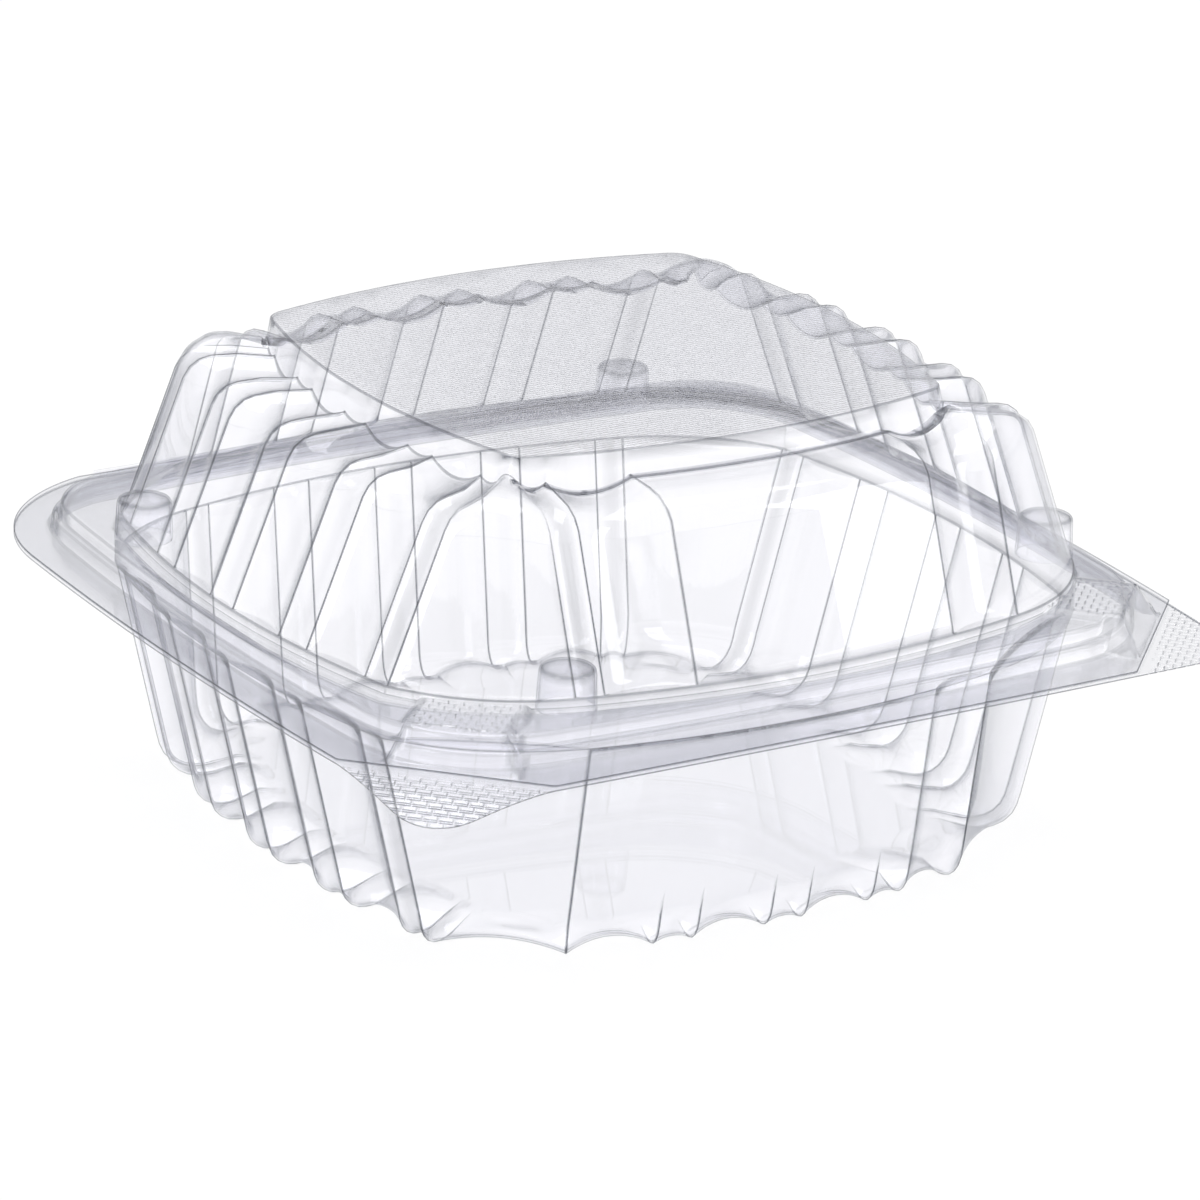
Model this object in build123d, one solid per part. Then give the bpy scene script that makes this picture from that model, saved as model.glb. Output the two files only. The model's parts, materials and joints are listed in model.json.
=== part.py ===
"""Clear hinged-lid food pack: a fluted tray and a domed lid, drawn from one plastic sheet.

Millimetres, +Z up. The origin is on the table, under the middle of the closed pack.
The front, with the two lift tabs, faces -Y. The hinge runs along the back.
"""
import os
from collections import namedtuple

from build123d import *

# The sheet and the whole pack
pack_width = 152.0
pack_depth = 148.0
sheet = 0.30
rest_gap = 0.30

# Heights above the table
tray_flange_top = 36.9
lid_height = 36.6

# Flange outline: the sides bow out a little and the back corners are round
side_bow = 3.6
front_bow = 0.8
front_corner_radius = 9.0
back_corner_radius = 26.0
lid_corner_cut = 25.0

# Snap rim: a raised bead on the tray, nested in a wider one on the lid
rim_width = 70.3
rim_depth = 66.6
rim_corner_radius = 24.0
rim_rise = 4.9
bead_step = 1.3
step_drop = 2.2

# Walls: distance from the pack's middle line to the ridges at the foot of the lid's wall
wall_middle = -1.4
wall_reach_x = 66.3
wall_reach_y = 62.0
wall_bow = 4.3
bow_span = 38.0
tray_swell_x = 1.0
tray_swell_y = 0.3
collar_swell = 0.2

# Flutes: hollow channels, wide and narrow by turns, with a sharp ridge between them
flute_pitch = 19.6
narrow_flute = 6.9
wide_depth = 1.9
narrow_depth = 0.75
corner_depth = 1.5
corner_bulge = 3.0
end_ridge = 36.3
end_flute = 4.6

# Lid: ledge, wall, shoulder, roof
ledge_rise = 1.5
lid_wall_lean = 9.1
shoulder_drop = 2.7
shoulder_reach = 3.2
roof_drop = 4.7
roof_reach = 24.5

# Raised top panel of the lid
panel_width = 87.6
panel_depth = 85.8
panel_bow = 5.4
panel_corner_radius = 4.0

# Tray: the wall leans in to rounded feet, and the floor is lifted off the table
tray_ledge_drop = 1.5
tray_lean_x = 8.0
tray_lean_y = 4.7
foot_radius = 5.0
floor_width = 88.8
floor_depth = 88.0
floor_bow = 5.6
floor_corner_radius = 3.0
floor_lift = 1.6
floor_slope = 2.5

# Stacking studs on the ledge, one near each corner
stud_radius = 4.2
stud_rise = 6.4
stud_along = 41.0
stud_out = 55.6

# Raised grip blocks at the two front corners of the lid
block_reach = 87.7
block_run = 60.0
block_length = 17.0
block_top_length = 12.5
block_lean = 3.4
block_rise = 5.8

# Hinge fold
fold_radius = 0.65
fold_clear = 0.1
hinge_length = 96.0

# Values that follow from those above
lid_flange_bottom = tray_flange_top + rest_gap
lid_top = lid_flange_bottom + lid_height
lid_bead_top = lid_flange_bottom + rim_rise
tray_bead_top = lid_bead_top - sheet - rest_gap
hinge_y = pack_depth / 2 - fold_radius
hinge_z = tray_flange_top + rest_gap / 2
flange_back = hinge_y - fold_radius - fold_clear

# Where the ridges stand along a fluted side, and along the front, from its middle
side_ridges = sorted(
    [k * flute_pitch + h * narrow_flute / 2 for k in (-1, 0, 1) for h in (-1, 1)]
    + [s * (end_ridge + h * end_flute) for s in (-1, 1) for h in (0, 1)]
)
lid_window = (-20.2, 25.9)
lid_front_ridges = [-39.0, -34.7, lid_window[0], lid_window[1], 39.4]
tray_window = (-36.6, 23.0)
toe_pitch = 19.2
toe_width = 6.6
toe_ridges = [tray_window[1] - k * toe_pitch - h * toe_width for k in (2, 1, 0) for h in (1, 0)]
tray_front_ridges = [tray_window[0]] + toe_ridges + [36.0]


def ridge_table(front_ridges):
    """Ridges in order round the wall: side name and place along it."""
    table = [("front", u) for u in front_ridges]
    table += [("right", u) for u in side_ridges]
    table += [("back", u) for u in reversed(side_ridges)]
    table += [("left", u) for u in reversed(side_ridges)]
    return table


def ridge_point(side, along, station, inset):
    """Place of one ridge at a station, moved in along the wall's slope by the inset."""
    facing_out = Vector(1, 0, 0).rotate(Axis.Y, -station.tilt)
    bend = (along / bow_span) ** 2
    spread = along * (1 - station.pinch * bend)
    reach_x = wall_reach_x - wall_bow * bend - station.in_x - inset * facing_out.X
    reach_y = wall_reach_y - wall_bow * bend - station.in_y - inset * facing_out.X
    place = {
        "front": (spread, -reach_y),
        "right": (reach_x, spread),
        "back": (spread, reach_y),
        "left": (-reach_x, spread),
    }[side]
    return Vector(place[0], place[1] + wall_middle, station.height - inset * facing_out.Z)


def flute_depth(same_side, width, hollow):
    """Depth of the hollow between two ridges; where there is none, the wall swells out a little."""
    if not same_side:
        return corner_depth if hollow else -corner_bulge
    if not hollow:
        return -wall_bow * (width / (2 * bow_span)) ** 2
    return wide_depth if width > 1.3 * narrow_flute else narrow_depth


def wall_ring(table, window, station, inset):
    """Closed wire round the wall at one station: an arc from each ridge to the next."""
    facing_out = Vector(1, 0, 0).rotate(Axis.Y, -station.tilt)
    edges = []
    for (side_a, u_a), (side_b, u_b) in zip(table, table[1:] + table[:1]):
        a = ridge_point(side_a, u_a, station, inset)
        b = ridge_point(side_b, u_b, station, inset)
        in_window = side_a == side_b == "front" and u_a >= window[0] and u_b <= window[1]
        hollow = station.flutes == "all" or (station.flutes == "walls" and not in_window)
        depth = flute_depth(side_a == side_b, abs(u_b - u_a), hollow)
        outward = Vector((b - a).Y, -(b - a).X, 0).normalized()
        if hollow:
            outward = outward * facing_out.X + Vector(0, 0, facing_out.Z)
        edges.append(ThreePointArc(a, (a + b) * 0.5 - outward * depth, b))
    return Wire(edges)


def fluted_body(table, window, stations, inset=0.0, first_shift=0.0, last_shift=0.0):
    """Solid whose side is the fluted wall, ruled from station to station, with flat ends."""
    first = stations[0]._replace(height=stations[0].height + first_shift)
    last = stations[-1]._replace(height=stations[-1].height + last_shift)
    rings = [wall_ring(table, window, s, inset) for s in [first] + stations[1:-1] + [last]]
    return Solid.make_loft(rings, ruled=True)


def collar(table, window, foot, inset, low, high):
    """The smooth collar between the ledge, where the flutes start, and the snap rim."""
    swollen = foot._replace(height=low, in_x=foot.in_x - collar_swell, in_y=foot.in_y - collar_swell)
    ring = wall_ring(table, window, swollen._replace(flutes="none"), inset)
    return extrude(make_face(ring.edges()), high - low)


def bowed_outline(half_x, half_y, bow_x, bow_y, middle_y=0.0, front_radius=5.0, back_radius=5.0):
    """Face of a rectangle with bowed sides and rounded corners."""
    x, y = half_x - bow_x, half_y - bow_y
    corners = [(-x, middle_y - y), (x, middle_y - y), (x, middle_y + y), (-x, middle_y + y)]
    mids = [(0, middle_y - half_y), (half_x, middle_y), (0, middle_y + half_y), (-half_x, middle_y)]
    arcs = [ThreePointArc(corners[i], mids[i], corners[(i + 1) % 4]) for i in range(4)]
    face = make_face(Wire(arcs).edges())
    front = face.vertices().filter_by(lambda v: v.Y < middle_y)
    face = fillet(front, front_radius)
    back = [v for v in face.vertices() if v.Y > middle_y and abs(v.X) > x - 1e-3]
    return fillet(back, back_radius)


def slab(face, low, high):
    """The face made solid from one height to another."""
    return Pos(0, 0, low) * extrude(face, high - low)


def flange_outline(front_radius):
    """Outer edge of a flange, cut straight along the hinge."""
    face = bowed_outline(
        pack_width / 2, pack_depth / 2, side_bow, front_bow, 0.0, front_radius, back_corner_radius
    )
    keep = Rectangle(2 * pack_width, 2 * pack_depth, align=(Align.CENTER, Align.MAX))
    return face & (Pos(0, flange_back) * keep)


def rim_outline(inset):
    """Outline of the snap rim's outer wall."""
    return bowed_outline(
        rim_width - inset, rim_depth - inset, side_bow, side_bow, wall_middle,
        rim_corner_radius - inset, rim_corner_radius - inset,
    )


def bead(inset, low, high):
    """The snap rim as a solid: a wide step with a narrower one on top."""
    lower = slab(rim_outline(inset), low, high - step_drop)
    upper = slab(rim_outline(inset + bead_step), low, high)
    return lower + upper


lid_table = ridge_table(lid_front_ridges)
tray_table = ridge_table(tray_front_ridges)

# Stations up the lid's wall: height, way in from the ridge feet, slope and which flutes show
Station = namedtuple("Station", "height in_x in_y tilt flutes pinch")
roof_height = lid_top - roof_drop
ledge_top = lid_bead_top + ledge_rise
shoulder_in = lid_wall_lean + shoulder_reach / 2
roof_in = lid_wall_lean + 1.4 * shoulder_reach
lid_stations = [
    Station(ledge_top, 0.0, 0.0, 0, "walls", 0.0),
    Station(roof_height - shoulder_drop, lid_wall_lean, lid_wall_lean, 0, "walls", 0.0),
    Station(roof_height - shoulder_drop / 4, shoulder_in, shoulder_in, 50, "walls", 0.03),
    Station(roof_height, roof_in, roof_in, 85, "walls", 0.06),
    Station(roof_height + sheet, roof_reach, roof_reach, 90, "walls", 0.13),
    Station(roof_height + sheet, 1.1 * roof_reach, 1.1 * roof_reach, 90, "none", 0.13),
]

# Stations down the tray's wall to the feet
tray_ledge = tray_flange_top - tray_ledge_drop
tray_stations = [
    Station(tray_ledge, -tray_swell_x, -tray_swell_y, 0, "walls", 0.0),
    Station(foot_radius, tray_lean_x, tray_lean_y, 0, "walls", 0.0),
    Station(0.3 * foot_radius, tray_lean_x + 0.3 * foot_radius, tray_lean_y + 0.3 * foot_radius,
            -30, "all", 0.03),
    Station(0.0, tray_lean_x + 0.7 * foot_radius, tray_lean_y + 0.7 * foot_radius, 0, "all", 0.05),
]


def top_panel(inset, low):
    """The raised top panel of the lid."""
    face = bowed_outline(
        panel_width / 2 - inset, panel_depth / 2 - inset, panel_bow, panel_bow, wall_middle + 0.6,
        panel_corner_radius, panel_corner_radius,
    )
    return slab(face, low, lid_top - inset)


def studs(inset):
    """The four stacking studs, turned a quarter from each other about the pack's middle."""
    rod = Cylinder(
        stud_radius - inset, stud_rise + sheet - inset, align=(Align.CENTER, Align.CENTER, Align.MIN)
    )
    places = [(-stud_along, -stud_out), (-stud_out, stud_along)]
    places += [(-x, -y) for x, y in places]
    return [Pos(x, y + wall_middle, lid_bead_top - sheet) * rod for x, y in places]


def grip_blocks(inset):
    """The two raised blocks at the front corners, narrower at the top."""
    blocks = []
    low, high = lid_flange_bottom, lid_flange_bottom + block_rise - inset
    for side in (-1, 1):
        at_foot = Rectangle(block_length - 2 * inset, block_run, align=(Align.CENTER, Align.MIN))
        at_top = Rectangle(block_top_length - 2 * inset, block_run, align=(Align.CENTER, Align.MIN))
        turn = Rot(0, 0, side * 45)
        foot = Pos(0, 0, low) * turn * Pos(0, -block_reach + inset, 0) * at_foot
        top = Pos(0, 0, high) * turn * Pos(0, -block_reach + block_lean + inset, 0) * at_top
        blocks.append(loft([foot.face(), top.face()]))
    return blocks


def lid():
    """The domed lid: flange, snap rim, grip blocks, fluted dome and raised top panel."""
    flange = slab(flange_outline(front_corner_radius), lid_flange_bottom, lid_flange_bottom + sheet)
    cut = lid_corner_cut * 2**0.5
    for side in (-1, 1):
        corner = Pos(side * pack_width / 2, -pack_depth / 2, lid_flange_bottom)
        flange -= corner * Rot(0, 0, 45) * Box(cut, cut, 5)
    outer = flange + bead(0, lid_flange_bottom, lid_bead_top) + grip_blocks(0)
    foot = lid_stations[0]
    outer += collar(lid_table, lid_window, foot, 0, lid_bead_top - sheet, ledge_top)
    outer += fluted_body(lid_table, lid_window, lid_stations)
    outer += studs(0)
    outer += top_panel(0, roof_height - 2 * wide_depth)
    inner = bead(sheet, lid_flange_bottom - 1, lid_bead_top - sheet)
    inner += [Pos(0, 0, -0.01) * block for block in grip_blocks(sheet)]
    inner += collar(lid_table, lid_window, foot, sheet, lid_bead_top - 2 * sheet, ledge_top - sheet)
    inner += fluted_body(lid_table, lid_window, lid_stations, sheet, first_shift=-sheet)
    inner += studs(sheet)
    inner += top_panel(sheet, roof_height - 2 * wide_depth)
    return outer - inner


def hinge_fold():
    """The fold between tray and lid: the sheet curled about the hinge line, on the tray's side."""
    ring = Circle(fold_radius) - Circle(fold_radius - sheet)
    ring -= Pos(-fold_radius, 0) * Rectangle(2 * fold_radius, 2 * fold_radius)
    curl = Plane.YZ * ring
    roll = extrude(curl, hinge_length / 2, both=True)
    return Pos(0, hinge_y, hinge_z) * roll


def floor_recess():
    """The shallow hollow under the floor, with sloping sides, that takes the panel of the pack below."""
    outlines = []
    for grow, height in ((floor_slope, 0.0), (0.0, floor_lift)):
        outline = bowed_outline(
            floor_width / 2 + grow, floor_depth / 2 + grow, floor_bow, floor_bow, wall_middle + 0.6,
            floor_corner_radius, floor_corner_radius,
        )
        outlines.append(Pos(0, 0, height) * outline)
    return loft(outlines, ruled=True)


def tray():
    """The tray: flange with the lift tabs, snap bead, fluted wall, feet, floor and hinge fold."""
    low = tray_flange_top - sheet
    fit = sheet + rest_gap
    rim = slab(flange_outline(front_corner_radius), low, tray_flange_top)
    rim += bead(fit, low, tray_bead_top)
    rim -= bead(fit + sheet, low - 1, tray_bead_top - sheet)
    top = tray_stations[0]
    outer = rim + collar(tray_table, tray_window, top, 0, tray_ledge, tray_bead_top)
    outer += fluted_body(tray_table, tray_window, tray_stations)
    outer -= floor_recess()
    inner = collar(tray_table, tray_window, top, sheet, tray_ledge + sheet, tray_bead_top + 1)
    inner += fluted_body(tray_table, tray_window, tray_stations, sheet, sheet, sheet)
    inner -= Pos(0, 0, sheet) * floor_recess()
    at_back = (Align.CENTER, Align.MAX, Align.MIN)
    tongue = Box(hinge_length, 2 * (hinge_y - flange_back), sheet, align=at_back)
    return outer - inner + Pos(0, hinge_y, low) * tongue + hinge_fold()


if __name__ == "__main__":
    os.makedirs("parts", exist_ok=True)
    for name, make in (("base_tray", tray), ("lid", lid)):
        shell = make()
        print(name, round(shell.volume), len(shell.solids()), len(shell.faces()), shell.is_valid)
        export_step(shell, f"parts/{name}.step")
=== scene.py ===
import json

import bpy
import numpy as np
from mathutils import Matrix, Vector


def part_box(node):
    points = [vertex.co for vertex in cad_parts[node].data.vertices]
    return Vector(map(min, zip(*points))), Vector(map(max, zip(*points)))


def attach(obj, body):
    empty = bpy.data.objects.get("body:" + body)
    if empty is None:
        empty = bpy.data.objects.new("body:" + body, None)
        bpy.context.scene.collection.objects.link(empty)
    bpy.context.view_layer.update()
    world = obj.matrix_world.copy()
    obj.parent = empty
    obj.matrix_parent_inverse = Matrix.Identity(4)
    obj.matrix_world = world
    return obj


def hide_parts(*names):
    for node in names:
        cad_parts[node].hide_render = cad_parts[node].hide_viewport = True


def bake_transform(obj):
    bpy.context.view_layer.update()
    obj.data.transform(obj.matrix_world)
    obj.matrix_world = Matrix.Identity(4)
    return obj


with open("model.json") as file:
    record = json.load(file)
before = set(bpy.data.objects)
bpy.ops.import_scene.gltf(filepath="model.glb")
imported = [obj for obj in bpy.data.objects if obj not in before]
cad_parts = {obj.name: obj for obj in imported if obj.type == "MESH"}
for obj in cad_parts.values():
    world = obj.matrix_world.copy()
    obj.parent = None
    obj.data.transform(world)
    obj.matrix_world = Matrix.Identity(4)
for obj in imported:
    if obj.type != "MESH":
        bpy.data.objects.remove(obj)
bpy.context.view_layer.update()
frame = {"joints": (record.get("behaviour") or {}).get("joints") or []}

# The tray
# The lower half of a pack drawn from one clear polystyrene sheet over a polished mould: a flange with two
# knurled lift tabs at the front corners, a raised snap bead, a fluted wall with a plain window at the front,
# rounded feet, and a floor lifted off the table. The lid's sheet runs on from its back edge over the fold.
MM = 0.001
sheet = 0.30
rest_gap = 0.30
tray_high = np.array(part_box("base_tray")[1]) / MM
lid_low, lid_high = (np.array(corner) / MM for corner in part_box("lid"))
pack_width, pack_depth = tray_high[:2] - np.array(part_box("base_tray")[0][:2]) / MM
pack_middle = np.array([0.0, -1.4])

wall_reach = np.array([62.0, 66.3, 62.0, 66.3])
wall_bow = 4.3
bow_span = 38.0
flute_pitch = 19.6
narrow_flute = 6.9
wide_depth = 1.9
narrow_depth = 0.75
corner_bulge = 3.0
end_ridge = 36.3
end_flute = 4.6
tray_window_end = 23.0
front_pitch = 19.2
front_narrow = 6.6
front_pairs = [tray_window_end - k * front_pitch - h * front_narrow for k in (2, 1, 0) for h in (1, 0)]
tray_front = [-36.6, *front_pairs, 34.2]
tray_corner_hollow = 1.5
tray_swell = (1.0, 0.3)
front_lean = 5.0

flange_bows = (3.6, 0.8)
flange_radii = (9.0, 32.0)
flange_back = lid_high[1]
tray_flange_top = lid_low[2] - rest_gap
tray_bead_top = tray_high[2]
step_drop = 2.2
bead_step = 1.3
tray_ledge = 35.4
tray_lean = 9.3
foot_radius = 5.0
foot_end = 15.0
floor_lift = 1.6
floor_start = 19.5
tab_start = 125.0
tab_droop = 3.2
knurl_start = 0.8

# Columns at a corner, across the window, across a wide flute and across a narrow one
column_counts = (40, 26, 13, 9)


def ridge_table(front_ridges):
    """Every ridge in order round the wall, from the front by the right: its side and its place along it."""
    pairs = [k * flute_pitch + h * narrow_flute / 2 for k in (-1, 0, 1) for h in (-1, 1)]
    ends = [s * (end_ridge + h * end_flute) for s in (-1, 1) for h in (0, 1)]
    along = sorted(pairs + ends)
    sides = [(0, front_ridges), (1, along), (2, along[::-1]), (3, along[::-1])]
    side = np.concatenate([np.full(len(places), number) for number, places in sides])
    return side, np.concatenate([np.array(places) for number, places in sides])


def column_places(side, along):
    """Columns of the grid: which gap between two ridges each is in, and how far across it, from 0 to 1.
    They crowd towards the ridges: even steps are mixed with cosine steps, less so at the corners."""
    same = side == np.roll(side, -1)
    width = np.abs(np.roll(along, -1) - along)
    is_window = width > 30
    is_wide = width > 1.3 * narrow_flute
    count = np.array(column_counts)[np.select([~same, is_window, is_wide], [0, 1, 2], 3)]
    gap = np.repeat(np.arange(len(side)), count)
    first = np.repeat(np.cumsum(count) - count, count)
    share = (np.arange(len(gap)) - first) / count[gap]
    crowding = np.where(same, 0.9, 0.45)[gap]
    return gap, (1 - crowding) * share + crowding * (1 - np.cos(np.pi * share)) / 2


def wall_rings(table, columns, window, corner, height, inset_x, inset_y, tilt, flute, pinch):
    """Rings of the fluted wall, one for each height. A ridge stands at its side's reach, less the bow times
    the square of its place over the span. Between two ridges the sheet dips as a parabola, at right angles
    to the wall's slope. flute is 0 on a smooth ring, 1 with flutes, and 2 with flutes in the window too."""
    side, along = table
    gap, f = columns
    normal = np.array([(0, -1), (1, 0), (0, 1), (-1, 0)])[side]
    tangent = np.array([(1, 0), (0, 1), (1, 0), (0, 1)])[side]
    bend = (along / bow_span) ** 2
    inset = np.where(side % 2 == 1, inset_x[:, None], inset_y[:, None])
    reach = wall_reach[side] - wall_bow * bend - inset
    spread = along * (1 - pinch[:, None] * bend)
    ridge = pack_middle + tangent * spread[..., None] + normal * reach[..., None]
    start, end = ridge[:, gap], ridge[:, (gap + 1) % len(side)]
    chord = end - start
    outward = np.stack([chord[..., 1], -chord[..., 0]], -1) / np.linalg.norm(chord, axis=-1, keepdims=True)
    same = (side == np.roll(side, -1))[gap]
    width = np.abs(np.roll(along, -1) - along)[gap]
    hollow = np.where(~same, corner, np.where(width > 1.3 * narrow_flute, wide_depth, narrow_depth))
    smooth = np.where(~same, -corner_bulge, -wall_bow * (width / (2 * bow_span)) ** 2)
    middle = ((along + np.roll(along, -1)) / 2)[gap]
    in_window = same & (side[gap] == 0) & (middle > window[0]) & (middle < window[1])
    share = np.where(in_window, np.clip(flute - 1, 0, 1)[:, None], np.clip(flute, 0, 1)[:, None])
    dip = (smooth + (hollow - smooth) * share) * 4 * f * (1 - f)
    lean = tilt[:, None] * share
    flat = start + (end - start) * f[:, None] - outward * (dip * np.cos(lean))[..., None]
    return np.concatenate([flat, (height[:, None] - dip * np.sin(lean))[..., None]], -1)


def polar_angle(ring):
    """Angle of each point about the pack's middle."""
    return np.arctan2(ring[:, 1] - pack_middle[1], ring[:, 0])


def circle_reach(angle, centre, radius):
    """How far a ray from the pack's middle runs before it leaves a circle. It is the centre's distance along
    the ray, plus the root of that squared, less the centre's distance squared, plus the radius squared."""
    along = np.cos(angle) * centre[0] + np.sin(angle) * centre[1]
    return along + np.sqrt(np.maximum(along**2 - centre @ centre + radius**2, 0))


def bowed_outline(angle, half, bows, middle_y, radii):
    """Points of a rectangle with bowed sides and round corners, at each angle about the pack's middle. A side
    is a circle through its two ends and its bowed middle. A corner's circle touches two sides from inside.
    half and bows are for x and y, and radii are for the front and the back corners."""
    (half_x, half_y), (bow_x, bow_y) = half, bows
    round_y = ((half_x - bow_x) ** 2 + bow_y**2) / (2 * bow_y)
    round_x = ((half_y - bow_y) ** 2 + bow_x**2) / (2 * bow_x)
    middle = np.array([0, middle_y]) - pack_middle
    centres = {
        (0, -1): middle + (0, round_y - half_y), (1, 0): middle + (half_x - round_x, 0),
        (0, 1): middle + (0, half_y - round_y), (-1, 0): middle + (round_x - half_x, 0),
    }
    sides = [circle_reach(angle, centre, round_y if key[1] else round_x) for key, centre in centres.items()]
    reach = np.min(sides, axis=0)
    for sx, sy in ((-1, -1), (1, -1), (1, 1), (-1, 1)):
        radius = radii[0] if sy < 0 else radii[1]
        a, b = centres[(0, sy)], centres[(sx, 0)]
        apart = np.linalg.norm(b - a)
        way = (b - a) / apart
        near, far = round_y - radius, round_x - radius
        along = (near**2 - far**2 + apart**2) / (2 * apart)
        aside = np.sqrt(near**2 - along**2) * np.array([-way[1], way[0]])
        corner = max([a + along * way + aside, a + along * way - aside], key=lambda p: p @ (sx, sy))
        touches = [a + (corner - a) * round_y / near, b + (corner - b) * round_x / far]
        mid = np.arctan2(*(sum(touches)[::-1]))
        spans = [(np.arctan2(t[1], t[0]) - mid + np.pi) % (2 * np.pi) - np.pi for t in touches]
        turn = (angle - mid + np.pi) % (2 * np.pi) - np.pi
        inside = (turn > min(spans)) & (turn < max(spans))
        reach = np.where(inside, circle_reach(angle, corner, radius), reach)
    return pack_middle + np.stack([np.cos(angle), np.sin(angle)], -1) * reach[:, None]


def flange_edge(angle):
    """Outer edge of a flange, straight along the fold at the back."""
    ring = bowed_outline(angle, (pack_width / 2, pack_depth / 2), flange_bows, 0.0, flange_radii)
    short = (flange_back - pack_middle[1]) / np.maximum(ring[:, 1] - pack_middle[1], 1e-6)
    share = np.where(ring[:, 1] > flange_back, short, 1.0)[:, None]
    return pack_middle + (ring - pack_middle) * share


rim_half = np.array([70.3, 66.6])
rim_radii = np.array([24.0, 18.0])
rim_bows = (3.6, 3.6)


def rim_ring(angle, inset):
    """Ring of the snap rim, moved in from the lid's outermost one."""
    return bowed_outline(angle, rim_half - inset, rim_bows, pack_middle[1], rim_radii - inset)


def diagonal(points):
    """Distance of each point from the pack's middle towards a front corner, times the root of 2."""
    return np.abs(points[..., 0]) - points[..., 1]


def rounded_path(corners, radii, step):
    """Points along straight runs, about a step apart, with an arc of each radius at each inner corner. An arc
    starts before its corner by its radius times the tangent of half the turn."""
    corners = np.array(corners, float)
    points = [corners[:1]]
    for before, at, after, radius in zip(corners, corners[1:], corners[2:], radii):
        u = (at - before) / np.linalg.norm(at - before)
        v = (after - at) / np.linalg.norm(after - at)
        turn = np.arctan2(u[0] * v[1] - u[1] * v[0], u @ v)
        cut = radius * np.tan(abs(turn) / 2)
        centre = at - u * cut + np.sign(turn) * radius * np.array([-u[1], u[0]])
        sweep = np.linspace(0, turn, max(4, int(abs(turn) * 4)))[:, None]
        arm = at - u * cut - centre
        points.append(centre + np.cos(sweep) * arm + np.sin(sweep) * np.array([-arm[1], arm[0]]))
    points.append(corners[-1:])
    full = []
    for a, b in zip(points, points[1:]):
        count = max(1, int(np.linalg.norm(b[0] - a[-1]) / step))
        full += [a[:-1], a[-1] + (b[0] - a[-1]) * (np.arange(count) / count)[:, None]]
    return np.concatenate(full + [points[-1]])


def between(first, last, count):
    """Rows of points spaced evenly from one ring to another, without the two rings."""
    share = np.arange(1, count + 1)[:, None, None] / (count + 1)
    return first + (last - first) * share


def flange_rows(edge, inner):
    """Rows of a flange, from a quarter of a millimetre inside its cut edge to the bead."""
    step = inner - edge
    near = edge + step * 0.25 / np.maximum(np.linalg.norm(step, axis=-1, keepdims=True), 1.0)
    return np.concatenate([near[None], between(near, inner, 8)])


def at_height(ring, height):
    """A flat ring of points put at a height."""
    return np.concatenate([ring, np.broadcast_to(height, ring.shape[:1])[:, None]], -1)


def disc_rows(edge, height, shares):
    """Rows of a flat disc inside a ring, each the ring shrunk to a share about the pack's middle."""
    centre = np.array([*pack_middle, height])
    return np.stack([centre + (edge - centre) * share for share in shares])


def tray_surface():
    """Rows of the tray's lower face, from the flange's edge over the bead and down the wall to the floor."""
    table = ridge_table(tray_front)
    columns = column_places(*table)
    window = (tray_front[0], tray_window_end)

    def rings(path, flute, tilt=0.0, pinch=0.0):
        """Rings of the wall for a path of insets and heights. The front and back lean less than the sides."""
        full = [np.broadcast_to(v, len(path)).astype(float) for v in (tilt, flute, pinch)]
        inset, height = path.T
        inset_x = inset - tray_swell[0]
        inset_y = np.clip(inset / 9.0, 0, None) * front_lean - tray_swell[1]
        return wall_rings(table, columns, window, tray_corner_hollow, height, inset_x, inset_y, *full)

    angle = polar_angle(rings(np.array([(0.0, 0.0)]), 0.0)[0])
    flange_low = tray_flange_top - sheet
    bead_low = tray_bead_top - sheet
    fit = sheet + rest_gap + sheet
    edge = at_height(flange_edge(angle), flange_low)
    bead_path = rounded_path(
        [(-1.0, flange_low), (fit, flange_low), (fit + 0.1, bead_low - step_drop),
         (fit + bead_step, bead_low - step_drop), (fit + bead_step + 0.1, bead_low),
         (fit + bead_step + 1.0, bead_low)], (0.45, 0.4, 0.35, 0.45), 1.3)
    bead = np.stack([at_height(rim_ring(angle, inset), height) for inset, height in bead_path])
    top_path = [(-0.9, bead_low), (0.0, bead_low), (0.0, tray_ledge), (0.4, tray_ledge)]
    top = rings(rounded_path(top_path, (0.5, 0.35), 1.5), 0.0)
    wall_path = rounded_path([(0.3, tray_ledge), (tray_lean, 0.0), (foot_end, 0.0), (floor_start, floor_lift)],
                             (foot_radius, 6.0), 2.0)
    inset, height = wall_path.T
    slope = np.gradient(wall_path, axis=0)
    start = np.clip((tray_ledge - height) / 5, 0, 1)
    tilt = -np.arctan2(slope[:, 0], np.maximum(-slope[:, 1], 0.02)) * start
    toes = np.clip((9.0 - height) / 5.0, 0, 1)
    fade = np.clip((21.0 - inset) / 6.0, 0, 1)
    pinch = np.interp(inset, (8.0, floor_start), (0.0, 0.11))
    wall = rings(wall_path, (1 + toes) * fade, tilt, pinch)
    foot = bowed_outline(polar_angle(wall[-1]), (44.4, 44.0), (5.6, 5.6), pack_middle[1] + 0.6, (3.0, 3.0))
    floor = at_height(foot, floor_lift)
    return np.concatenate([
        edge[None], flange_rows(edge, bead[0]), bead, between(bead[-1], top[0], 2), top,
        between(top[-1], wall[0], 2), wall, between(wall[-1], floor, 1), floor[None],
        disc_rows(floor, floor_lift, (0.97, 0.9, 0.7, 0.45, 0.2, 0.05)),
    ])


def grid_normals(rows):
    """Unit normal at each grid point: the cross product of the differences along the row and between rows."""
    across = np.roll(rows, -1, axis=1) - np.roll(rows, 1, axis=1)
    normal = np.cross(across, np.gradient(rows, axis=0))
    return normal / np.maximum(np.linalg.norm(normal, axis=-1, keepdims=True), 1e-9)


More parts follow.
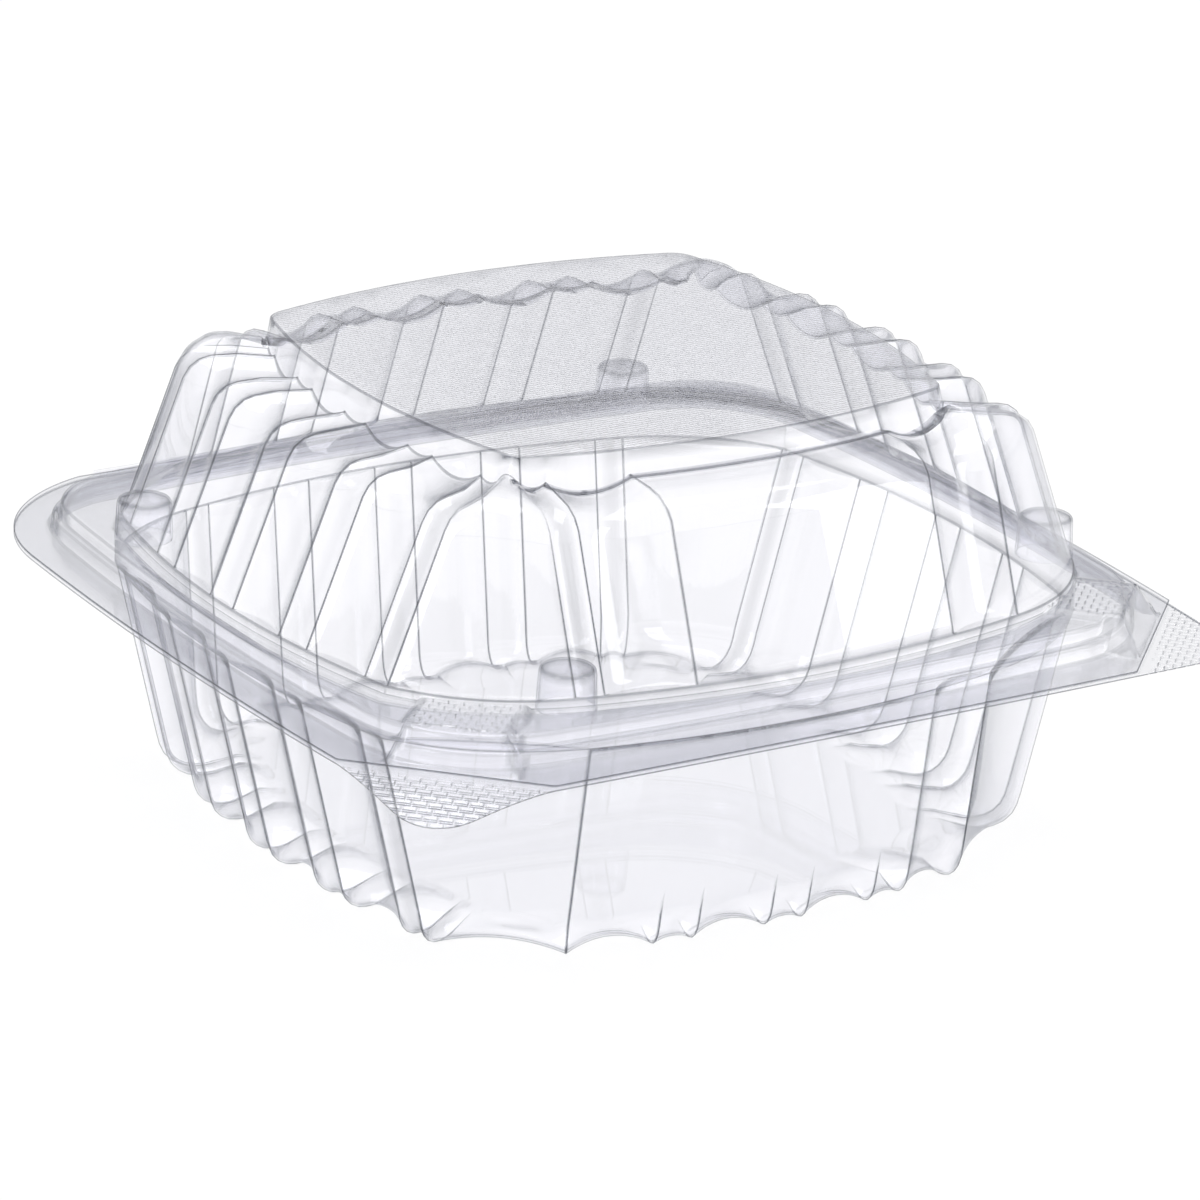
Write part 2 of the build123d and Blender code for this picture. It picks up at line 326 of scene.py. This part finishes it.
def fold_shade_amount(rows):
    """How much painted shade each point gets, from 0 to 1, by how sharply the sheet is folded there, and 1 at
    its cut edge. The ridges down the wall count by their angle, and the rounder folds round it by angle over
    length."""
    across = np.roll(rows, -1, axis=1) - rows
    down = np.diff(rows, axis=0, append=rows[-1:] * 2 - rows[-2:-1])
    face = np.cross(across, down)
    face /= np.maximum(np.linalg.norm(face, axis=-1, keepdims=True), 1e-9)
    ridge = np.linalg.norm(face - np.roll(face, 1, axis=1), axis=-1)
    ring = np.linalg.norm(np.diff(face, axis=0, prepend=face[:1]), axis=-1)
    ring[-2:] = 0
    length = np.maximum(np.linalg.norm(down, axis=-1), 0.1)
    round_it = 0.55 * np.clip((ring / length - 0.7) / 1.2, 0, 1) * np.clip(ring / 0.15, 0, 1)
    round_it[0] = 1
    return np.maximum(np.clip((ridge - 0.12) / 0.5, 0, 1), round_it)


def add_piece(name, points, faces):
    """An object at the origin with a mesh of these faces and points, in millimetres."""
    mesh = bpy.data.meshes.new(name)
    mesh.from_pydata(points * MM, [], faces)
    piece = bpy.data.objects.new(name, mesh)
    bpy.context.scene.collection.objects.link(piece)
    return piece


def store_fold_shade(mesh, sharpness):
    """Shades a mesh smooth and stores at each point how strong its material's painted fold shade is."""
    mesh.polygons.foreach_set("use_smooth", np.ones(len(mesh.polygons), bool))
    layer = mesh.attributes.new("bend", "FLOAT", "POINT")
    layer.data.foreach_set("value", sharpness.astype(np.float32))


def sheet_piece(name, rows, outside, finish, less_fold_shade):
    """Closed thin mesh from rows of points that run from the sheet's edge in to its middle, in millimetres.
    The second face lies a sheet's thickness behind the first, along the normals. outside is 1 where the
    rows are the upper face and -1 where they are the lower one. finish is the number of the material at
    each point. The first face stores how strong the painted shade along its folds is, less the share given
    in the last argument, which makes it fainter."""
    normals = grid_normals(rows)
    normals[-1] = normals[-1].mean(0)
    behind = rows - outside * sheet * normals
    count_rows, count = rows.shape[:2]
    points = [rows.reshape(-1, 3), rows[-1].mean(0)[None], behind.reshape(-1, 3), behind[-1].mean(0)[None]]
    i, j = np.meshgrid(np.arange(count_rows - 1), np.arange(count), indexing="ij")
    k = (j + 1) % count
    quads = np.stack([i * count + j, i * count + k, (i + 1) * count + k, (i + 1) * count + j], -1)
    quads = quads.reshape(-1, 4)
    last = (count_rows - 1) * count + np.arange(count)
    fan = np.stack([last, np.roll(last, -1), np.full(count, count_rows * count)], -1)
    shift = count_rows * count + 1
    edge = np.arange(count)
    band = np.stack([edge, edge + shift, np.roll(edge, -1) + shift, np.roll(edge, -1)], -1)
    faces = [quads, quads[:, ::-1] + shift, band, fan, fan[:, ::-1] + shift]
    if outside < 0:
        faces = [part[:, ::-1] for part in faces]
    piece = add_piece(name, np.concatenate(points), [face for part in faces for face in part.tolist()])
    inside = finish[1:].ravel()
    middle = np.full(count, finish[-1, 0])
    numbers = np.concatenate([inside, inside, finish[0], middle, middle])
    piece.data.polygons.foreach_set("material_index", numbers)
    # Painted shade along the folds and the cut edge, on the first face only
    store_fold_shade(piece.data, np.append((fold_shade_amount(rows) * (1 - less_fold_shade)).ravel(), np.zeros(shift + 1)))
    return piece


def linear_colour(code):
    """An sRGB hex colour as linear red, green, blue and 1, by the sRGB curve."""
    c = np.array([int(code[k:k + 2], 16) / 255 for k in (1, 3, 5)])
    return (*np.where(c <= 0.04045, c / 12.92, ((c + 0.055) / 1.055) ** 2.4), 1.0)


def add_node(tree, kind, links=(), **settings):
    """Adds a node. settings are properties, or input values by number as in0; links are (input, socket)."""
    node = tree.nodes.new(kind)
    for key, value in settings.items():
        if key.startswith("in") and key[2:].isdigit():
            node.inputs[int(key[2:])].default_value = value
        else:
            setattr(node, key, value)
    for place, socket in links:
        tree.links.new(socket, node.inputs[place])
    return node


def new_material(name):
    """A material and its node tree, cleared."""
    material = bpy.data.materials.new(name)
    material.use_nodes = True
    material.node_tree.nodes.clear()
    return material, material.node_tree


def millimetres(tree, turn=0.0):
    """Place on the piece in millimetres, turned about the upright axis."""
    place = add_node(tree, "ShaderNodeTexCoord").outputs["Object"]
    return add_node(tree, "ShaderNodeMapping", [(0, place)], in2=(0, 0, turn),
                    in3=(1000, 1000, 1000)).outputs[0]


def clear_polystyrene(name, height=None, depth=0.0):
    """See-through sheet with the mould's polish, so it is clear with a sharp shine. The real sheet has an index
    of 1.59. Here nothing is bent: what isn't mirrored passes, less of it at a slant, and less at a tight fold,
    where painted shade darkens the passing colour into a dark line. It stands in for the light that the fold
    turns away like a small prism. The mirrored share is 0.04 plus 0.7 times the slant's fifth power. height
    adds a pattern to a tree, for relief of that depth in metres."""
    material, tree = new_material(name)
    relief = []
    if height:
        bump = add_node(tree, "ShaderNodeBump", [("Height", height(tree))], in0=1.0, in1=depth)
        relief = [("Normal", bump.outputs[0])]
    facing = add_node(tree, "ShaderNodeLayerWeight", relief, in0=0.5).outputs["Facing"]
    slant = add_node(tree, "ShaderNodeMath", [(0, facing)], operation="POWER", in1=5.0).outputs[0]
    mirror = add_node(tree, "ShaderNodeMath", [(0, slant)], operation="MULTIPLY_ADD", in1=0.7,
                      in2=0.04).outputs[0]
    long_way = add_node(tree, "ShaderNodeMath", [(0, facing)], operation="POWER", in1=6.0).outputs[0]
    # Painted shade: the passing colour darkens from #FEFEFF to #5A606A by the bend attribute, as dark lines
    # along the folds and the cut edge.
    bend = add_node(tree, "ShaderNodeAttribute", attribute_name="bend").outputs["Fac"]
    painted_fold_shade = add_node(tree, "ShaderNodeMix", [(0, bend)], data_type="RGBA", in6=linear_colour("#FEFEFF"),
                    in7=linear_colour("#5A606A")).outputs[2]
    shade = add_node(tree, "ShaderNodeMix", [(0, long_way), (6, painted_fold_shade)], data_type="RGBA",
                     in7=linear_colour("#747A84")).outputs[2]
    clear = add_node(tree, "ShaderNodeBsdfTransparent", [(0, shade)]).outputs[0]
    shine = add_node(tree, "ShaderNodeBsdfAnisotropic", relief, in0=(1, 1, 1, 1), in1=0.0).outputs[0]
    both = add_node(tree, "ShaderNodeMixShader", [(0, mirror), (1, clear), (2, shine)]).outputs[0]
    add_node(tree, "ShaderNodeOutputMaterial", [(0, both)])
    return material


def woven_knurl(tree):
    """Height of the knurl: bricks 2.3 by 1.3 mm with raised seams of 0.35 mm, laid across the corner."""
    return add_node(tree, "ShaderNodeTexBrick", [(0, millimetres(tree, np.pi / 4))], in4=1.0, in5=0.35, in6=1.0,
                    in8=2.3, in9=1.3).outputs["Fac"]


clear_sheet = clear_polystyrene("clear_polystyrene_drawn_sheet")
knurled_sheet = clear_polystyrene("clear_polystyrene_knurled", woven_knurl, 0.0003)

tray_rows = tray_surface()
on_flange = (tray_rows[..., 2] < tray_flange_top + 0.5) & (tray_rows[..., 2] > 30)
past_cut = np.clip(diagonal(tray_rows) - tab_start, 0, None) * on_flange
tray_rows[..., 2] -= tab_droop * (past_cut / past_cut.max()) ** 1.5 * (tray_rows[..., 0] < 0)
# The painted fold shade is 60% fainter on the flange, bead and rim, though not at the cut edge.
tray_rim = tray_rows[..., 2] > tray_flange_top - 1.0
tray_rim[0] = False
tray_sheet = sheet_piece("tray_sheet", tray_rows, -1, (past_cut > knurl_start).astype(int), 0.6 * tray_rim)
tray_sheet.data.materials.append(clear_sheet)
tray_sheet.data.materials.append(knurled_sheet)
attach(tray_sheet, "base")
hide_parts("base_tray")

# The lid
# The upper half: a flange cut off at the front corners, a rim that snaps over the tray's bead, two raised
# grip blocks, a fluted dome with a plain window at the front, and a raised top panel for stacking. The same
# clear sheet, with a knurl on the blocks and a fine grain on the panel.
lid_flange_top = lid_low[2] + sheet
lid_top = lid_high[2]
rim_top = 42.1
ledge_top = 43.6
panel_rise = 4.7
roof_height = lid_top - panel_rise
roof_end = 17.3
shoulder_radius = 5.0
wall_lean = 9.1
front_roof_end = 4.0
lid_window = (-20.2, 25.9)
lid_front = [-39.0, -34.7, *lid_window, 39.4]
lid_corner_hollow = -1.5
panel_half = np.array([43.8, 42.9])
panel_bows = (5.4, 5.4)
panel_radius = 4.0
block_reach = 87.7
block_length = 19.6
block_top_length = 15.4
block_lean = 3.4
block_top = lid_low[2] + 5.8


def block_height(points):
    """Height of the grip blocks at each point: a flat top with ramps on its front and two ends."""
    front = (block_reach - diagonal(points) / 2**0.5) / block_lean
    aside = np.abs(np.abs(points[..., 0]) + points[..., 1]) / 2**0.5
    end = (block_length / 2 - aside) / (block_length / 2 - block_top_length / 2)
    rise = np.clip(np.minimum(front, end), 0, 1) * (points[..., 1] < 0)
    return lid_flange_top + (block_top - lid_flange_top) * rise


def lid_surface():
    """Rows of the lid's upper face, from the flange's edge over the rim and up the dome to the top panel."""
    table = ridge_table(lid_front)
    columns = column_places(*table)

    def rings(path, flute, tilt=0.0, pinch=0.0):
        """Rings of the wall for a path of insets and heights. The roof runs further in at front and back."""
        full = [np.broadcast_to(v, len(path)).astype(float) for v in (tilt, flute, pinch)]
        inset, height = path.T
        inset_y = inset + front_roof_end * np.clip((inset - wall_lean) / (roof_end - wall_lean), 0, 1)
        return wall_rings(table, columns, lid_window, lid_corner_hollow, height, inset, inset_y, *full)

    angle = polar_angle(rings(np.array([(0.0, 0.0)]), 0.0)[0])
    edge = flange_edge(angle)
    over = (tab_start + pack_middle[1]) / np.maximum(diagonal(edge) + pack_middle[1], 1e-6)
    edge = pack_middle + (edge - pack_middle) * np.where(diagonal(edge) > tab_start, over, 1.0)[:, None]
    edge = at_height(edge, lid_flange_top)
    bead_path = rounded_path(
        [(-1.0, lid_flange_top), (0.0, lid_flange_top), (0.15, rim_top - step_drop),
         (bead_step, rim_top - step_drop), (bead_step + 0.15, rim_top), (bead_step + 1.0, rim_top)],
        (0.35, 0.45, 0.35, 0.45), 1.3)
    bead = np.stack([at_height(rim_ring(angle, inset), height) for inset, height in bead_path])
    collar_path = [(-0.9, rim_top), (-0.3, rim_top), (-0.2, ledge_top), (0.2, ledge_top)]
    collar = rings(rounded_path(collar_path, (0.4, 0.35), 1.0), 0.0)
    outer = np.concatenate([
        edge[None], flange_rows(edge, bead[0]), bead, between(bead[-1], collar[0], 5), collar,
    ])
    outer[..., 2] = np.maximum(outer[..., 2], block_height(outer))
    corner_in = wall_lean * (roof_height - ledge_top) / (roof_height - ledge_top - 2.7)
    wall_path = rounded_path([(0.15, ledge_top), (corner_in, roof_height), (roof_end, roof_height + sheet)],
                             (shoulder_radius,), 1.7)
    inset, height = wall_path.T
    slope = np.gradient(wall_path, axis=0)
    tilt = np.arctan2(slope[:, 0], np.maximum(slope[:, 1], 0)) * np.clip((height - ledge_top) / 5, 0, 1)
    pinch = np.interp(inset, (wall_lean, 13.6, roof_end), (0.0, 0.02, 0.06))
    wall = rings(wall_path, 1.0, tilt, pinch)
    polar = polar_angle(wall[-1])
    low = wall[-1, :, 2]
    climb = rounded_path([(-0.5, 0.0), (0.0, 0.0), (0.5, panel_rise), (2.0, panel_rise)], (0.3, 0.4), 1.6)
    panel = np.stack([
        at_height(bowed_outline(polar, panel_half - inset, panel_bows, pack_middle[1] + 0.6,
                                (panel_radius - inset / 2,) * 2), low + (lid_top - low) * rise / panel_rise)
        for inset, rise in climb
    ])
    return np.concatenate([
        outer, between(outer[-1], wall[0], 2), wall, panel,
        disc_rows(panel[-1], lid_top, (0.95, 0.85, 0.7, 0.5, 0.3, 0.1, 0.03)),
    ])


def fine_dashes(tree):
    """Height of the panel's grain: dashes 2.1 by 0.8 mm across the pack, unevenly filled."""
    place = millimetres(tree)
    groove = add_node(tree, "ShaderNodeTexBrick", [(0, place)], in4=1.0, in5=0.2, in6=1.0, in8=2.1,
                      in9=0.8).outputs["Fac"]
    uneven = add_node(tree, "ShaderNodeTexNoise", [(0, place)], in2=0.35, in3=2.0).outputs[0]
    return add_node(tree, "ShaderNodeMath", [(0, groove), (2, uneven)], operation="MULTIPLY_ADD",
                    in1=0.5).outputs[0]


grained_sheet = clear_polystyrene("clear_polystyrene_fine_grained", fine_dashes, 0.0001)

lid_rows = lid_surface()
lid_height = lid_rows[..., 2]
on_block = (block_height(lid_rows) > block_top - 0.1) & (lid_height < block_top + 0.1)
on_panel = lid_height > lid_top - 0.02
# The painted fold shade is 60% fainter on the flange and rim and 75% fainter on the grip blocks.
lid_rim = lid_height < rim_top + 0.2
lid_rim[0] = False
block_side = np.abs(lid_height - block_height(lid_rows)) < 0.01
block_side &= block_height(lid_rows) > lid_flange_top + 0.1
lid_sheet = sheet_piece("lid_sheet", lid_rows, 1, on_block + 2 * on_panel,
                        np.maximum(0.75 * block_side, 0.6 * lid_rim))
lid_sheet.data.materials.append(clear_sheet)
lid_sheet.data.materials.append(knurled_sheet)
lid_sheet.data.materials.append(grained_sheet)
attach(lid_sheet, "lid")
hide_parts("lid")

# The stacking studs
# Four small round cups of the lid's own clear sheet, drawn up from its ledge near the corners, so that a
# stack of open lids doesn't jam. Two stand where the photograph shows them and two are opposite.
stud_radius = 4.2
stud_top = rim_top + 6.4
stud_places = np.array([(-40.1, -56.5), (-61.2, 33.6), (40.1, 56.5), (61.2, -33.6)]) + pack_middle


def stud_cups():
    """Thin closed cups: a profile of radii and heights, down inside and up outside, turned about each axis."""
    outside = rounded_path([(stud_radius + 0.35, rim_top - 0.1), (stud_radius, stud_top), (0.02, stud_top)],
                           (0.8,), 0.9)
    slope = np.gradient(outside, axis=0)
    slope /= np.linalg.norm(slope, axis=1, keepdims=True)
    inside = outside + sheet * np.stack([-slope[:, 1], slope[:, 0]], -1)
    inside[:, 0] = np.maximum(inside[:, 0], 0.02)
    profile = np.concatenate([inside[::-1], outside])
    turns = np.linspace(0, 2 * np.pi, 49)[:-1]
    points, faces = [], []
    count = len(profile)
    i, j = np.meshgrid(np.arange(len(turns)), np.arange(count - 1), indexing="ij")
    k = (i + 1) % len(turns)
    quads = np.stack([i * count + j, k * count + j, k * count + j + 1, i * count + j + 1], -1).reshape(-1, 4)
    for number, (x, y) in enumerate(stud_places):
        ring = np.stack([np.outer(np.cos(turns), profile[:, 0]) + x, np.outer(np.sin(turns), profile[:, 0]) + y,
                         np.broadcast_to(profile[:, 1], (len(turns), count))], -1)
        points.append(ring.reshape(-1, 3))
        start = number * len(turns) * count
        tips = start + np.arange(len(turns)) * count
        faces += (quads + start).tolist() + [tips[::-1].tolist(), (tips + count - 1).tolist()]
    piece = add_piece("stacking_studs", np.concatenate(points), faces)
    # Painted shade: a faint dark ring round each cup's outer shoulder, through the material's fold lines.
    painted_shoulder_shade = np.exp(-((profile[:, 0] - stud_radius + 0.3) ** 2 + (profile[:, 1] - stud_top + 0.3) ** 2) / 0.3)
    store_fold_shade(piece.data, np.tile(painted_shoulder_shade * 0.35, len(turns) * len(stud_places)))
    return piece


studs = stud_cups()
studs.data.materials.append(clear_sheet)
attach(studs, "lid")

# The fold
# Tray and lid are one clear sheet, creased along the back. The real strip there curls round as the lid shuts
# and flattens as it opens; here it is a fixed half ring about the hinge line that belongs to neither body.
hinge_y, hinge_z = (frame["joints"][0]["pos_m"][axis] / MM for axis in (1, 2))
fold_length = 96.0
fold_radius = 0.5


def fold_strip():
    """Closed thin strip: half a ring about the hinge line with a short run at each end, carried along it."""
    turn = np.linspace(-np.pi / 2, np.pi / 2, 13)
    path = np.stack([hinge_y + fold_radius * np.cos(turn), hinge_z + fold_radius * np.sin(turn)], -1)
    gap = rest_gap / 2 + sheet / 2
    run_start = flange_back - 0.2
    path = np.concatenate([[(run_start, hinge_z - gap)], path, [(run_start, hinge_z + gap)]])
    slope = np.gradient(path, axis=0)
    aside = np.stack([slope[:, 1], -slope[:, 0]], -1) / np.linalg.norm(slope, axis=1, keepdims=True) * sheet / 2
    section = np.concatenate([path + aside, (path - aside)[::-1]])
    along = np.linspace(-fold_length / 2, fold_length / 2, 25)
    count = len(section)
    points = np.concatenate([np.broadcast_to(along[:, None, None], (len(along), count, 1)),
                             np.broadcast_to(section, (len(along), count, 2))], -1).reshape(-1, 3)
    i, j = np.meshgrid(np.arange(len(along) - 1), np.arange(count), indexing="ij")
    k = (j + 1) % count
    quads = np.stack([i * count + j, (i + 1) * count + j, (i + 1) * count + k, i * count + k], -1)
    half = np.arange(count // 2 - 1)
    cap = np.stack([half, half + 1, count - 2 - half, count - 1 - half], -1)
    faces = np.concatenate([quads.reshape(-1, 4), cap, cap[:, ::-1] + (len(along) - 1) * count])
    return add_piece("fold_strip", points, faces[:, ::-1].tolist())


fold = fold_strip()
fold.data.materials.append(clear_sheet)
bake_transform(fold)

# Floor, light and camera
# A white paper sweep with soft light from above and both sides, and the photograph's long lens from the
# front left. Round the pack the room is bright, with a grey band low on its walls for the shine.


def white_floor():
    """Paper floor: white to the eye, with a share of real light on it so that the pack's shadow stays."""
    material, tree = new_material("white_paper_sweep")
    path = add_node(tree, "ShaderNodeLightPath").outputs["Is Camera Ray"]
    paper = add_node(tree, "ShaderNodeBsdfDiffuse", in0=linear_colour("#F4F4F4")).outputs[0]
    glow = add_node(tree, "ShaderNodeEmission", in0=(1, 1, 1, 1), in1=1.0).outputs[0]
    share = add_node(tree, "ShaderNodeMath", [(0, path)], operation="MULTIPLY", in1=0.88).outputs[0]
    both = add_node(tree, "ShaderNodeMixShader", [(0, share), (1, paper), (2, glow)]).outputs[0]
    add_node(tree, "ShaderNodeOutputMaterial", [(0, both)])
    return material


def studio_world():
    """White to the camera. Round the pack, by height: pale low down, a grey band, and bright overhead."""
    world = bpy.data.worlds.new("studio")
    bpy.context.scene.world = world
    world.use_nodes = True
    tree = world.node_tree
    tree.nodes.clear()
    place = add_node(tree, "ShaderNodeTexCoord").outputs["Generated"]
    height = add_node(tree, "ShaderNodeSeparateXYZ", [(0, place)]).outputs[2]
    ramp = add_node(tree, "ShaderNodeValToRGB", [(0, height)])
    stops = ramp.color_ramp.elements
    stops[0].position, stops[0].color = 0.0, linear_colour("#F0F0F3")
    stops[1].position, stops[1].color = 1.0, linear_colour("#FFFFFF")
    for position, code in ((0.1, "#B4B4BC"), (0.2, "#F4F4F6"), (0.31, "#E4E4E8"), (0.319, "#24282E"),
                           (0.329, "#24282E"), (0.336, "#F4F4F6"), (0.6, "#F8F8FA")):
        stop = stops.new(position)
        stop.color = linear_colour(code)
    path = add_node(tree, "ShaderNodeLightPath").outputs["Is Camera Ray"]
    seen = add_node(tree, "ShaderNodeBackground", in0=(1, 1, 1, 1), in1=1.0).outputs[0]
    room = add_node(tree, "ShaderNodeBackground", [(0, ramp.outputs[0])], in1=1.0).outputs[0]
    both = add_node(tree, "ShaderNodeMixShader", [(0, path), (1, room), (2, seen)]).outputs[0]
    add_node(tree, "ShaderNodeOutputWorld", [(0, both)])


def put(holder, right, back, place):
    """Links a lamp or camera at a place, in metres, with its right and its back towards two directions."""
    axes = np.column_stack([right, np.cross(back, right), back, place])
    holder.matrix_world = Matrix(np.vstack([axes, (0, 0, 0, 1)]).tolist())
    bpy.context.scene.collection.objects.link(holder)


def softbox(name, place, target, width, height, power):
    """A rectangular soft lamp that looks at a point, in metres and watts."""
    lamp = bpy.data.lights.new(name, "AREA")
    lamp.shape = "RECTANGLE"
    lamp.size, lamp.size_y, lamp.energy = width, height, power
    back = np.array(place, float) - np.array(target, float)
    back /= np.linalg.norm(back)
    right = np.cross((0, 0, 1), back)
    put(bpy.data.objects.new(name, lamp), right / np.linalg.norm(right), back, place)


studio_world()
floor_corners = np.array([(-4, -4, 0), (4, -4, 0), (4, 4, 0), (-4, 4, 0)]) / MM
floor = add_piece("floor", floor_corners, [(0, 1, 2, 3)])
floor.data.materials.append(white_floor())
softbox("overhead", (0.15, 0.1, 1.1), (0, 0, 0.03), 0.8, 0.8, 5)
softbox("left", (-1.0, -0.35, 0.5), (0, 0, 0.04), 0.3, 0.9, 2.2)
softbox("right", (0.75, -0.8, 0.45), (0, 0, 0.04), 0.3, 0.9, 2.2)

camera_place = np.array([-0.5234, -0.8183, 0.3953])
camera_right = np.array([0.8486, -0.5275, 0.0394])
camera_back = np.array([-0.5062, -0.7882, 0.3498])
camera_right /= np.linalg.norm(camera_right)
camera_back -= camera_right * (camera_back @ camera_right)
camera_back /= np.linalg.norm(camera_back)
camera = bpy.data.objects.new("camera", bpy.data.cameras.new("camera"))
camera.data.lens = 200.05
camera.data.sensor_width = 36
camera.data.clip_end = 20
put(camera, camera_right, camera_back, camera_place)

scene = bpy.context.scene
scene.camera = camera
scene.view_settings.view_transform = "Standard"
scene.cycles.transparent_max_bounces = 48
scene.cycles.max_bounces = 3
scene.cycles.glossy_bounces = 2
